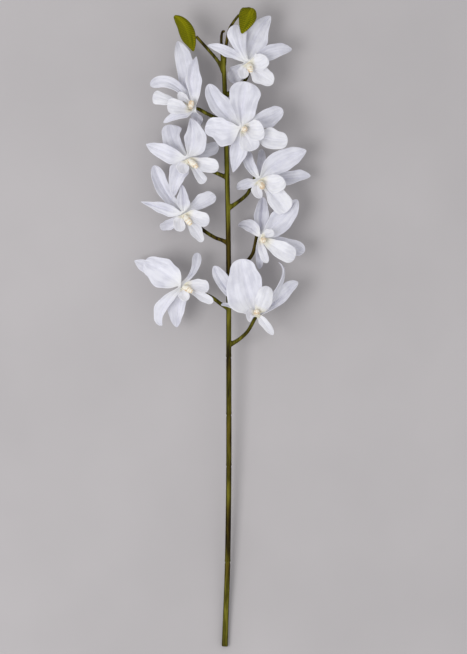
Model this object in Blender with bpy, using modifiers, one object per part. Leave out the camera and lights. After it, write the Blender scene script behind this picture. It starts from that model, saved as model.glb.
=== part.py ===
# A cut spray of white orchid flowers, lying on its back.
# +Y runs from the cut end of the stem to its tip, +Z is up from the surface it rests on.
import math

import bmesh
import bpy
from mathutils import Vector

MM = 0.001
PETAL_THICK = 1.2
LIP_THICK = 1.2
RING_RADIUS = 3.4
RING_STEP = 2.3
ROOT_HALF = 2.4
ROOT_GAP = math.radians(70)
ACROSS = 4
ALONG = 7
LIP_ALONG = 6
TUBE_SIDES = 10
STALK_SIDES = 8

# Stem centre line: along the spray, sideways, height, radius, in millimetres.
STEM_LINE = [
    (-375, 3.2, 3.7, 3.7),
    (-340, 4.4, 6.0, 3.4),
    (-272, 6.6, 12.0, 3.3),
    (-163, 8.0, 20.0, 3.2),
    (-26, 7.9, 28.0, 3.1),
    (91, 7.6, 33.0, 3.0),
    (208, 5.3, 36.0, 2.9),
    (277, 3.3, 37.5, 2.8),
    (316, 1.6, 38.5, 2.6),
]
NOTCHES = [-276, -163, -102.5, -35]
NOTCH_DEPTH = 0.45

# Thin stalks that grew from the stem: points in millimetres and the radius at the start and end.
STALKS = {
    "left_bud": ([(2, 300, 37), (-5, 313, 36.5), (-16, 326, 37), (-28.8, 340, 40)], 2.1, 1.8),
    "right_bud": ([(2, 308, 37), (4.5, 328, 38), (8, 348, 40), (13.5, 358, 45), (18.6, 364.5, 51)], 2.0, 1.6),
    "tip": ([(1.6, 310, 37.5), (-0.5, 330, 37), (-0.6, 342, 38), (1, 347.5, 38), (3.5, 347, 38)], 2.0, 1.3),
    "flower1": ([(4, 272, 37.5), (14, 279, 33), (26, 289, 29), (31, 302, 29)], 2.3, 2.1),
    "flower2": ([(5, 240, 37), (-9, 247, 37), (-19, 252, 37)], 2.3, 2.1),
    "flower3": ([(6, 216, 36), (12, 221, 43), (17, 228, 49)], 2.3, 2.1),
    "flower4": ([(7, 176, 34.5), (-5, 181, 34), (-24, 190, 33)], 2.3, 2.1),
    "flower5": ([(7, 140, 34), (19, 148, 33.5), (31, 159, 33)], 2.3, 2.1),
    "flower6": ([(8, 99, 33), (0, 103, 33), (-10, 107, 33), (-26, 118, 33)], 2.3, 2.1),
    "flower7": ([(8, 57, 31), (20, 68, 31), (31, 80, 31), (37, 90, 33)], 2.3, 2.1),
    "flower8": ([(8, 23, 30), (-1, 28, 30), (-12, 36, 31), (-28, 43, 33)], 2.3, 2.1),
    "flower9": ([(8, -20, 28), (19, -14, 31), (30, -4, 35)], 2.3, 2.1),
}

# Each tepal: the point its midrib passes halfway and its tip, both from the hub; the reach of its left and
# right edge a quarter, half and three quarters of the way along; point (0 round to 1 sharp); turn and twist
# about the midrib in degrees; cup, lift_left and lift_right (rise of the edges); crease (depth of the fold)
# and crease_at (where across); broad (how quickly it widens from its root). Lengths in millimetres.
FLOWERS = {
    "flower1": {
        "hub": (29, 312, 42), "axis": (0.3, -0.45, 0.85), "column": (5, -14, 14),
        "sepals": [
            {"mid": (11, 28, -6), "tip": (28, 54, -12), "left": (11, 13, 10.5), "right": (13, 15, 8),
             "point": 0.6, "crease": 3, "crease_at": 0.1, "cup": 2},
            {"mid": (-23, 13, 1), "tip": (-46, 19, 1), "left": (5, 8, 5), "right": (4, 5, 4.5),
             "point": 0.8, "lift_left": -1},
            {"mid": (-11, -12, -13), "tip": (-19, -22, -41.5), "left": (6, 10, 9), "right": (6, 10, 8)},
        ],
        "petals": [
            {"mid": (27, 9, 1), "tip": (53, 15, -12), "left": (6, 10, 9.5), "right": (6, 8, 5),
             "point": 0.6, "lift_right": 3},
            {"mid": (-9, 21, 6.5), "tip": (-13, 43, 3), "left": (4, 9, 12), "right": (5, 9, 12),
             "point": 0.2, "crease": 1, "cup": -2},
        ],
        "lip": [
            {"mid": (14, -1, 8), "tip": (23, 5, 14), "left": (7, 11, 9), "right": (7, 11, 10), "point": 0,
             "cup": 3},
            {"mid": (-4, -11, 2.5), "tip": (-2, -20, 5), "left": (3, 6, 6.5), "right": (4, 7, 6),
             "point": 0, "cup": 1},
            {"mid": (15, -15, 2), "tip": (31, -26, 2), "left": (3, 11, 11), "right": (6, 12, 8),
             "point": 0.2, "crease": 1.5},
        ],
    },
    "flower2": {
        "hub": (-31, 257, 43), "axis": (-0.6, 0.1, 0.77), "column": (-3.5, 9, 14),
        "sepals": [
            {"mid": (-15, 43, -13), "tip": (-21, 80, -19), "left": (8, 6, 5.5), "right": (10, 15, 14),
             "point": 0.6, "lift_right": 4, "crease": 2, "crease_at": -0.4},
            {"mid": (-22, -8, -2), "tip": (-37.5, -16.5, -5), "left": (7, 5, 3), "right": (6, 6, 4),
             "point": 0.6},
            {"mid": (2, -9, -15), "tip": (1, -18, -42.5), "left": (6, 8, 6), "right": (6, 8, 6),
             "turn": 30},
        ],
        "petals": [
            {"mid": (-2, 31.5, 4), "tip": (1, 61, -4), "left": (5, 10, 7.5), "right": (7, 10, 5),
             "point": 0.9, "crease": 3, "crease_at": 0.4, "cup": 3},
            {"mid": (-28, 29, 3), "tip": (-52.5, 26, 5), "left": (5, 8, 7), "right": (5, 7, 7), "turn": 50,
             "twist": -50, "point": 0},
        ],
        "lip": [
            {"mid": (-19.5, 1.5, 13), "tip": (-33, 3, 13), "left": (6, 9, 9), "right": (2.5, 7.5, 9),
             "point": 0, "cup": 3},
            {"mid": (-14, 12.5, 8), "tip": (-21, 15, 11), "left": (2, 4, 5), "right": (1.5, 4.5, 5),
             "point": 0, "cup": 2},
            {"mid": (-35, 10.5, 8), "tip": (-50, 14, 5), "left": (3, 7, 9), "right": (3, 6, 8), "point": 0,
             "cup": -1},
        ],
    },
    "flower3": {
        "hub": (22, 234, 58), "axis": (0.35, -0.2, 0.9), "column": (5, -2, 18),
        "sepals": [
            {"mid": (30.5, 12, -7), "tip": (49, 22, -12), "left": (7, 10, 9), "right": (8, 13, 9),
             "point": 0.4, "crease": 2},
            {"mid": (-24, 26, -9), "tip": (-37.5, 51.5, -10), "left": (9, 12, 9.5), "right": (11, 13, 9),
             "point": 0.3, "lift_left": 5, "crease": 2, "crease_at": 0.2},
            {"mid": (-3.5, -28, -6), "tip": (-9, -52, -8), "left": (12, 11, 6), "right": (8, 9.5, 6),
             "point": 0.9},
        ],
        "petals": [
            {"mid": (2.3, 27, -1), "tip": (7, 54, -8), "left": (8, 15.5, 18), "right": (14, 17, 19.5),
             "point": 0.1, "crease": 4, "crease_at": 0.1, "cup": 4},
            {"mid": (-22, -2.3, 2), "tip": (-42, -1, 0), "left": (17, 21, 9), "right": (8, 14, 14),
             "point": 0, "cup": 3},
        ],
        "lip": [
            {"mid": (15, -3, 12), "tip": (27, -2, 16), "left": (7, 12, 11), "right": (5, 12, 13),
             "point": 0, "cup": 4},
            {"mid": (8, -15, 8), "tip": (12, -28, 12), "left": (4, 12, 12), "right": (6, 11, 11),
             "point": 0, "cup": 3},
            {"mid": (31.5, -12, 4), "tip": (55, -15, 2), "left": (3, 13, 10), "right": (4, 13, 11),
             "point": 0, "cup": 1.5, "crease": 3, "crease_at": -0.1},
        ],
    },
    "flower4": {
        "hub": (-42, 199, 42), "axis": (0.45, -0.35, 0.8), "column": (14, -12, 13),
        "sepals": [
            {"mid": (22, 9, -10), "tip": (37.5, 16.5, -16), "left": (6, 8, 7), "right": (6, 8, 9),
             "turn": 20, "point": 0.2},
            {"mid": (-15, 21, -11), "tip": (-19, 40, -18), "left": (7, 12, 10.5), "right": (6, 9, 14),
             "point": 0, "crease": 1.5},
            {"mid": (-10.5, -23.5, -5), "tip": (-14, -44.5, -4), "left": (10, 8, 5), "right": (12, 10.5, 7),
             "point": 0.6, "crease": 1.5},
        ],
        "petals": [
            {"mid": (9.5, 23.5, -1), "tip": (4.7, 47, -9), "left": (9, 13, 7), "right": (14, 15, 8),
             "point": 0.8, "crease": 2, "crease_at": 0.3, "cup": 3},
            {"mid": (-27, 8, 2), "tip": (-47, 16.5, -6), "left": (11, 10, 6.5), "right": (7, 9, 6),
             "point": 1, "crease": 1.5},
        ],
        "lip": [
            {"mid": (22, -8, 9), "tip": (38.5, -10.5, 13), "left": (5, 9, 9), "right": (6, 9, 8),
             "point": 0, "cup": 3},
            {"mid": (-2.5, -10.5, 5), "tip": (0, -18, 11), "left": (4, 5.5, 6), "right": (6, 9, 8),
             "point": 0, "cup": 3},
            {"mid": (15, -20, 2), "tip": (22, -29, 4), "left": (3, 5.5, 6), "right": (3, 5.5, 6),
             "point": 0.1},
        ],
    },
    "flower5": {
        "hub": (42, 175, 42), "axis": (0.35, -0.45, 0.82), "column": (6, -13, 14),
        "sepals": [
            {"mid": (34, 0, -10), "tip": (62, 3.5, -16), "left": (6, 9, 10), "right": (5, 8, 3.5),
             "point": 0.5, "crease": 1.5},
            {"mid": (4, 19, -13), "tip": (4.7, 36, -41.5), "left": (4, 5, 4.5), "right": (4, 5, 4.5)},
            {"mid": (-14, -7, -9), "tip": (-24.5, -11.5, -26), "left": (5, 5, 3), "right": (6, 7, 6)},
        ],
        "petals": [
            {"mid": (27, 20, -1), "tip": (57, 33, -6), "left": (11, 13.5, 10), "right": (9, 14, 11),
             "point": 0.7, "crease": 3, "cup": 3},
            {"mid": (-9.5, 17.5, -2), "tip": (-15, 34, -12), "left": (5, 7, 7), "right": (5, 6, 7),
             "crease": 1.5},
        ],
        "lip": [
            {"mid": (17.5, -6, 10), "tip": (30.5, -1, 15), "left": (8, 11, 10), "right": (4, 12, 11),
             "point": 0, "cup": 3},
            {"mid": (-1, -13, 3), "tip": (4, -23, 8), "left": (4, 5, 5), "right": (4, 7, 6), "point": 0.2,
             "cup": 3},
            {"mid": (20, -22, 3), "tip": (33, -40, 3), "left": (3, 14, 14), "right": (4, 11, 11),
             "point": 0, "crease": 2.5},
        ],
    },
    "flower6": {
        "hub": (-46, 135, 42), "axis": (0.3, -0.5, 0.8), "column": (10.5, -15, 14),
        "sepals": [
            {"mid": (23, 11, -8), "tip": (38, 21, -12), "left": (7, 12, 10), "right": (4, 6, 6.5),
             "point": 0.1},
            {"mid": (-21, 27, -17), "tip": (-34, 56, -19), "left": (7, 10, 8), "right": (5, 7, 9),
             "point": 0.2, "lift_left": 3, "crease": 2},
            {"mid": (-15, -14, -11), "tip": (-27, -16.5, -41.6), "left": (5, 6, 4), "right": (5, 7, 6),
             "point": 0.2},
        ],
        "petals": [
            {"mid": (1, 17.5, 2), "tip": (-1, 33, -7), "left": (7, 8, 4), "right": (7, 6, 3.5),
             "point": 0.7, "crease": 2.5},
            {"mid": (-26, 6, 0), "tip": (-49, 13, -6), "left": (7, 6.5, 3), "right": (6, 7, 3), "point": 1,
             "crease": 2.5},
        ],
        "lip": [
            {"mid": (17.5, -7, 9), "tip": (31.5, -10.5, 15), "left": (8, 9, 9), "right": (3, 6, 8),
             "point": 0, "cup": 3},
            {"mid": (-3, -11, 4), "tip": (-1, -22, 9), "left": (4, 5, 6), "right": (5, 8, 8), "point": 0,
             "cup": 3},
            {"mid": (15, -22, 1), "tip": (23.5, -34, 4), "left": (6, 9, 5), "right": (4, 7, 4.5),
             "point": 0.1},
        ],
    },
    "flower7": {
        "hub": (44, 107, 42), "axis": (0.4, -0.35, 0.85), "column": (4.5, -5, 14),
        "sepals": [
            {"mid": (29.5, -7, -8), "tip": (53, -17.5, -7), "left": (4, 6, 8), "right": (5, 10, 10),
             "point": 0},
            {"mid": (2.3, 22, -12), "tip": (4.7, 47, -25), "left": (6, 10, 7), "right": (6, 9, 6),
             "point": 0.4, "crease": 4, "cup": 5},
            {"mid": (0, -22, -4), "tip": (0, -37.5, -12), "left": (4, 4.5, 4), "right": (4, 4.5, 4),
             "point": 0.4},
        ],
        "petals": [
            {"mid": (24.5, 17.5, -1), "tip": (44.5, 43.5, -8), "left": (9, 15, 11), "right": (10, 13, 10),
             "point": 0.5, "crease": 3, "crease_at": 0.3},
            {"mid": (-12, 11, -8), "tip": (-25, 14.5, -41.6), "left": (4, 5, 3.5), "right": (8, 9.5, 6),
             "point": 0.6},
        ],
        "lip": [
            {"mid": (10, 3, 9), "tip": (17, 4, 15), "left": (4, 6, 5), "right": (2.4, 4, 4), "point": 0,
             "cup": 2},
            {"mid": (23, -16, 9), "tip": (41, -26, 7), "left": (7, 12, 13), "right": (6, 9, 9),
             "point": 0.1},
            {"mid": (3, -16, 6), "tip": (9, -31, 5), "left": (3, 5, 5), "right": (3, 5, 5), "point": 0.1},
        ],
    },
    "flower8": {
        "hub": (-48, 50, 42), "axis": (0.45, -0.25, 0.85), "column": (14, -8, 14),
        "sepals": [
            {"mid": (15, 17.5, -6), "tip": (19, 38.5, -18), "left": (2.5, 4, 6), "right": (2.5, 4, 5.5),
             "point": 0},
            {"mid": (-30.5, 20, -11), "tip": (-55, 29, -28), "left": (8, 12, 9), "right": (6, 7, 4.5),
             "point": 0.8},
            {"mid": (-3.5, -28, -8), "tip": (-5, -49, -10), "left": (8, 8, 5), "right": (7, 13, 8),
             "point": 0.6, "crease": 1.5},
        ],
        "petals": [
            {"mid": (-21, 15, 0), "tip": (-43, 28, -4), "left": (13, 20, 13), "right": (13, 17, 12),
             "point": 0.1, "crease": 1.5, "cup": 4, "broad": 1.6},
            {"mid": (-21, -28, 2), "tip": (-22, -47, 2), "left": (4, 4, 2), "right": (7, 10.5, 8),
             "point": 0.5},
        ],
        "lip": [
            {"mid": (20, -1.5, 9), "tip": (33, -3.5, 15), "left": (6, 9, 9), "right": (3, 5, 7), "point": 0,
             "cup": 3},
            {"mid": (3, -10, 4), "tip": (7, -18, 9), "left": (4, 5, 6), "right": (4, 7, 6), "point": 0,
             "cup": 3},
            {"mid": (25, -13, 2), "tip": (37.5, -20, 5), "left": (3, 5, 5), "right": (3, 6, 5),
             "point": 0.1},
        ],
    },
    "flower9": {
        "hub": (40, 14, 48), "axis": (0.2, 0.4, 0.85), "column": (-2, 5, 13),
        "sepals": [
            {"mid": (29, 22, -5), "tip": (49, 40, -14), "left": (8, 11, 10), "right": (5, 7.5, 4),
             "point": 0.3, "crease": 2},
            {"mid": (-34, 31, -9), "tip": (-49, 59, -9), "left": (4, 6, 6), "right": (4, 12, 10),
             "point": 0.3, "crease": 2},
            {"mid": (-27, 11.5, -7), "tip": (-41, 13, -6), "left": (3, 3, 2), "right": (3, 3, 2)},
        ],
        "petals": [
            {"mid": (29, 42, 2), "tip": (26, 63, -5), "left": (5, 7, 5), "right": (5, 7, 5), "turn": 65},
            {"mid": (-12, 37.5, -1), "tip": (-17.5, 67, -5), "left": (24, 23, 15), "right": (15, 19, 16),
             "point": 0.1, "crease": 2, "cup": 5, "broad": 3},
        ],
        "lip": [
            {"mid": (8, 17, 16), "tip": (13, 35, 12), "left": (7, 10, 9.5), "right": (8, 11, 9.5),
             "point": 0, "cup": -3, "broad": 1.6},
            {"mid": (-7, 2, 8), "tip": (-7.5, -7, 12), "left": (5, 6, 4), "right": (5, 6, 4), "cup": 2},
            {"mid": (8, -6, 8), "tip": (20, -22, 5), "left": (3, 5, 5), "right": (3, 5.5, 4.5),
             "point": 0.2},
        ],
    },
}

# Buds: centre line in millimetres with the radius at each point.
BUDS = {
    "bud_left": [
        (-33.5, 324, 41, 1.0), (-35.5, 332, 41, 5.4), (-38.7, 340, 41, 8.6), (-41.5, 348, 41, 9.2),
        (-45.5, 355.5, 41, 7.8), (-51, 361.5, 41, 5.4), (-56, 365.5, 41, 1.6),
    ],
    "bud_right": [
        (23.2, 344, 53, 1.0), (25.8, 351.6, 53, 6.0), (28.9, 360, 53, 9.8), (31, 367, 53, 10.6),
        (33.2, 371.3, 53, 8.2), (34.2, 374.4, 53, 3.0),
    ],
}

COLOURS = {
    "sepals": (0.86, 0.86, 0.91, 0.6),
    "petals": (0.88, 0.88, 0.92, 0.6),
    "lip": (0.90, 0.90, 0.93, 0.6),
    "column": (0.88, 0.80, 0.60, 0.5),
    "stem": (0.16, 0.17, 0.04, 0.5),
    "bud": (0.35, 0.40, 0.06, 0.55),
}


def clear_scene():
    for item in list(bpy.data.objects):
        bpy.data.objects.remove(item)


def collection_named(name):
    group = bpy.data.collections.new(name)
    bpy.context.scene.collection.children.link(group)
    return group


def material_for(node, colour):
    material = bpy.data.materials.new(node + "_material")
    material.use_nodes = True
    shader = material.node_tree.nodes["Principled BSDF"]
    shader.inputs["Base Color"].default_value = (colour[0], colour[1], colour[2], 1)
    shader.inputs["Roughness"].default_value = colour[3]
    shader.inputs["Metallic"].default_value = 0
    material.diffuse_color = (colour[0], colour[1], colour[2], 1)
    return material


def object_from(bm, node, group, colour):
    bmesh.ops.scale(bm, vec=(MM, MM, MM), verts=bm.verts)
    mesh = bpy.data.meshes.new(node)
    bm.to_mesh(mesh)
    bm.free()
    item = bpy.data.objects.new(node, mesh)
    group.objects.link(item)
    mesh.materials.append(material_for(node, colour))
    return item


def mix(first, second, share):
    return first + (second - first) * share


def ease(value):
    value = min(max(value, 0), 1)
    return value * value * (3 - 2 * value)


def smooth(points, steps):
    """Points on a smooth line through the given points of any dimension."""
    line = []
    for index in range(len(points) - 1):
        before = points[max(index - 1, 0)]
        start = points[index]
        end = points[index + 1]
        after = points[min(index + 2, len(points) - 1)]
        for step in range(steps):
            t = step / steps
            line.append(tuple(
                0.5 * (2 * b + (c - a) * t + (2 * a - 5 * b + 4 * c - d) * t ** 2
                       + (3 * b - a - 3 * c + d) * t ** 3)
                for a, b, c, d in zip(before, start, end, after)
            ))
    line.append(tuple(float(value) for value in points[-1]))
    return line


def tube(bm, stations, sides):
    """A closed tube through (x, y, z, radius) stations: a disc, extruded from station to station."""
    centres = [Vector(station[:3]) for station in stations]
    disc = bmesh.ops.create_circle(bm, cap_ends=True, segments=sides, radius=1)
    ring = disc["verts"]
    face = ring[0].link_faces[0]
    across = Vector((0, 0, 1))
    for index, centre in enumerate(centres):
        if index > 0:
            grown = bmesh.ops.extrude_face_region(bm, geom=[face])
            if index > 1:
                bmesh.ops.delete(bm, geom=[face], context="FACES_ONLY")
            face = [part for part in grown["geom"] if isinstance(part, bmesh.types.BMFace)][0]
            ring = [loop.vert for loop in face.loops]
        ahead = centres[min(index + 1, len(centres) - 1)] - centres[max(index - 1, 0)]
        ahead.normalize()
        across = (across - ahead * across.dot(ahead)).normalized()
        other = ahead.cross(across)
        for corner, vert in enumerate(ring):
            angle = 2 * math.pi * corner / sides
            offset = across * math.cos(angle) + other * math.sin(angle)
            vert.co = centre + offset * stations[index][3]
    bmesh.ops.recalc_face_normals(bm, faces=bm.faces)


def stem_stations():
    """Stations along the main stem, closer together where a ring notch narrows it."""
    line = smooth([(along, side, height, radius) for along, side, height, radius in STEM_LINE], 6)
    places = [entry[0] for entry in line]
    for notch in NOTCHES:
        places = [place for place in places if abs(place - notch) > 6]
        places += [notch - 4, notch - 1.2, notch, notch + 1.2, notch + 4]
    stations = []
    for place in sorted(places):
        after = next(index for index, entry in enumerate(line) if entry[0] >= place)
        after = max(after, 1)
        low, high = line[after - 1], line[after]
        share = (place - low[0]) / (high[0] - low[0])
        radius = mix(low[3], high[3], share)
        if place in NOTCHES:
            radius -= NOTCH_DEPTH
        stations.append((mix(low[1], high[1], share), place, mix(low[2], high[2], share), radius))
    return stations


def stalk_stations(name):
    points, start, end = STALKS[name]
    if name in FLOWERS:
        hub = Vector(FLOWERS[name]["hub"])
        axis = Vector(FLOWERS[name]["axis"]).normalized()
        points = points + [tuple(hub - axis * 7), tuple(hub - axis * 1.8)]
    last = len(points) - 1
    return smooth([tuple(point) + (mix(start, end, index / last),) for index, point in enumerate(points)], 3)


def build_stem(group):
    bm = bmesh.new()
    tube(bm, stem_stations(), TUBE_SIDES)
    stem = object_from(bm, "stem", group, COLOURS["stem"])
    cutters = bpy.data.collections.new("stalk_guides")
    bpy.context.scene.collection.children.link(cutters)
    cutters.hide_render = True
    for name in STALKS:
        bm = bmesh.new()
        tube(bm, stalk_stations(name), STALK_SIDES)
        stalk = object_from(bm, "guide_" + name, cutters, COLOURS["stem"])
        stalk.display_type = "WIRE"
        stalk.hide_render = True
        join = stem.modifiers.new("join_" + name, "BOOLEAN")
        join.operation = "UNION"
        join.solver = "EXACT"
        join.object = stalk


def half_width(tepal, side, t):
    quarter, half, late = tepal[side]
    if t >= 0.78:
        share = (t - 0.78) / 0.22
        round_end = late * math.sqrt(max(1 - share * share, 0))
        sharp_end = late * (1 - share)
        return 0.7 + mix(round_end, sharp_end, tepal.get("point", 0.5)) * (late - 0.7) / late
    knots = [(0, ROOT_HALF), (0.25, quarter * 1.1), (0.5, half), (0.78, late)]
    for (low, start), (high, end) in zip(knots, knots[1:]):
        if t <= high:
            share = (t - low) / (high - low)
            if low == 0:
                share = share ** (1 / tepal.get("broad", 1.25))
            return mix(start, end, mix(share, ease(share), 0.6))
    return late


def tepal_point(tepal, root, ring_way, s, t):
    """A point of the blade: s runs across from -1 to 1 and t from the hub to the tip."""
    mid = Vector(tepal["mid"])
    tip = Vector(tepal["tip"])
    control = mid * 2 - (root + tip) * 0.5
    centre = root * (1 - t) ** 2 + control * 2 * t * (1 - t) + tip * t * t
    ahead = ((control - root) * (1 - t) + (tip - control) * t).normalized()
    straight = Vector((tip.x - root.x, tip.y - root.y, 0)).normalized()
    flat = Vector((ahead.x, ahead.y, 0)).lerp(straight, 0.5).normalized()
    turn = math.radians(tepal.get("turn", 0) + tepal.get("twist", 0) * t)
    side = Vector((0, 0, 1)).cross(flat)
    side = side * math.cos(turn) + ahead.cross(side) * math.sin(turn)
    wide = ring_way.lerp(side, ease(t / 0.35))
    wide = (wide - ahead * wide.dot(ahead)).normalized()
    rise = ahead.cross(wide)
    body = math.sin(math.pi * min(t * 1.02, 1)) ** 0.6 if t > 0 else 0
    edge = "left" if s > 0 else "right"
    lift = tepal.get("cup", 2) * s * s + tepal.get("lift_" + edge, 0) * abs(s) ** 2.2
    lift -= tepal.get("crease", 1.0) * math.exp(-((s - tepal.get("crease_at", 0)) / 0.3) ** 2)
    return centre + wide * (s * half_width(tepal, edge, t)) + rise * (lift * body)


def spread(angles):
    """The same angles around the hub in the same order, pushed apart so neighbouring roots stay clear."""
    for turn in range(60):
        for index in range(len(angles)):
            other = (index + 1) % len(angles)
            gap = angles[other] - angles[index] + (2 * math.pi if other == 0 else 0)
            if gap < ROOT_GAP:
                angles[index] -= (ROOT_GAP - gap) / 2
                angles[other] += (ROOT_GAP - gap) / 2
    return angles


def build_whorl(node, flower, tepals, level, along, thick, colour, group):
    """Blades that share one hub, as one open sheet that is then given its thickness."""
    hub = Vector(flower["hub"])
    axis = Vector(flower["axis"]).normalized()
    first = Vector((1, 0, 0)) - axis * axis.x
    first.normalize()
    second = axis.cross(first)
    bm = bmesh.new()
    placed = []
    for tepal in tepals:
        mid = Vector(tepal["mid"])
        placed.append((math.atan2(mid.dot(second), mid.dot(first)), tepal))
    placed.sort(key=lambda entry: entry[0])
    loop = []
    for angle, (old, tepal) in zip(spread([entry[0] for entry in placed]), placed):
        out = first * math.cos(angle) + second * math.sin(angle)
        root = axis * level + out * RING_RADIUS
        ring_way = axis.cross(out)
        made = bmesh.ops.create_grid(bm, x_segments=ACROSS, y_segments=along, size=0.5)
        rows = sorted(made["verts"], key=lambda vert: (round(vert.co.y, 4), vert.co.x))
        loop += rows[: ACROSS + 1]
        for vert in made["verts"]:
            s = vert.co.x * 2
            t = min(max(vert.co.y + 0.5, 0), 1)
            vert.co = hub + tepal_point(tepal, root, ring_way, s, t)
    cap = bm.faces.new(loop)
    bmesh.ops.poke(bm, faces=[cap])
    bmesh.ops.recalc_face_normals(bm, faces=bm.faces)
    item = object_from(bm, node, group, colour)
    skin = item.modifiers.new("thickness", "SOLIDIFY")
    skin.thickness = thick * MM
    skin.offset = 0
    skin.use_rim = True


def build_column(name, flower, group):
    hub = Vector(flower["hub"])
    axis = Vector(flower["axis"]).normalized()
    start = hub + axis * (2 * RING_STEP + 1.8)
    end = hub + Vector(flower["column"])
    bend = hub + axis * 11
    stations = []
    for step, radius in enumerate((1.7, 2.6, 3.3, 3.7, 3.2, 1.5)):
        t = step / 5
        place = start * (1 - t) ** 2 + bend * 2 * t * (1 - t) + end * t * t
        stations.append((place.x, place.y, place.z, radius))
    bm = bmesh.new()
    tube(bm, stations, 8)
    object_from(bm, name + "_column", group, COLOURS["column"])


def build_bud(name, group):
    bm = bmesh.new()
    tube(bm, smooth(BUDS[name], 2), 12)
    object_from(bm, name, group, COLOURS["bud"])


def build():
    clear_scene()
    group = collection_named("orchid_spray")
    build_stem(group)
    for name in BUDS:
        build_bud(name, group)
    for name, flower in FLOWERS.items():
        build_whorl(name + "_sepals", flower, flower["sepals"], 0, ALONG, PETAL_THICK,
                    COLOURS["sepals"], group)
        build_whorl(name + "_petals", flower, flower["petals"], RING_STEP, ALONG, PETAL_THICK,
                    COLOURS["petals"], group)
        build_whorl(name + "_lip", flower, flower["lip"], 2 * RING_STEP, LIP_ALONG, LIP_THICK,
                    COLOURS["lip"], group)
        build_column(name, flower, group)


build()
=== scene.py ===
import math

import bmesh
import bpy
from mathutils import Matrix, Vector, noise


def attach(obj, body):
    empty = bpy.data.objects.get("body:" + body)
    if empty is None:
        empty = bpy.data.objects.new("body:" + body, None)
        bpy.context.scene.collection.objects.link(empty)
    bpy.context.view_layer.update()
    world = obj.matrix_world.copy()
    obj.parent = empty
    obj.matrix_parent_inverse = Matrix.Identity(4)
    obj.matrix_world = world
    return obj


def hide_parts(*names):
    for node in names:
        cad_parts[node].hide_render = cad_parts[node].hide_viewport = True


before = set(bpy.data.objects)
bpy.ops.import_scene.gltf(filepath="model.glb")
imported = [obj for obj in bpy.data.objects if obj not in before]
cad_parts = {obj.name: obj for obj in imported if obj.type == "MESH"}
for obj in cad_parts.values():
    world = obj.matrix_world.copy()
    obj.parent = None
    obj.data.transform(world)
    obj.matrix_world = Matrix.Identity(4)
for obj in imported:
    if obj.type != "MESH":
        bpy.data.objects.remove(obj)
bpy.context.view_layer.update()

mm = 0.001

# Grid of each tepal, its thickness, and the small ring that the roots stand on. Lengths in millimetres.
finish = {
    "across": 14,
    "along": 22,
    "lipAlong": 16,
    "petalThick": 0.7,
    "lipThick": 0.8,
    "ringRadius": 3.4,
    "ringStep": 2.3,  # from the sepals to the petals, and from them to the lip
    "rootHalf": 2.4,  # half the width of a root
    "rootGap": 70,  # least angle between two roots, in degrees
}

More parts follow.
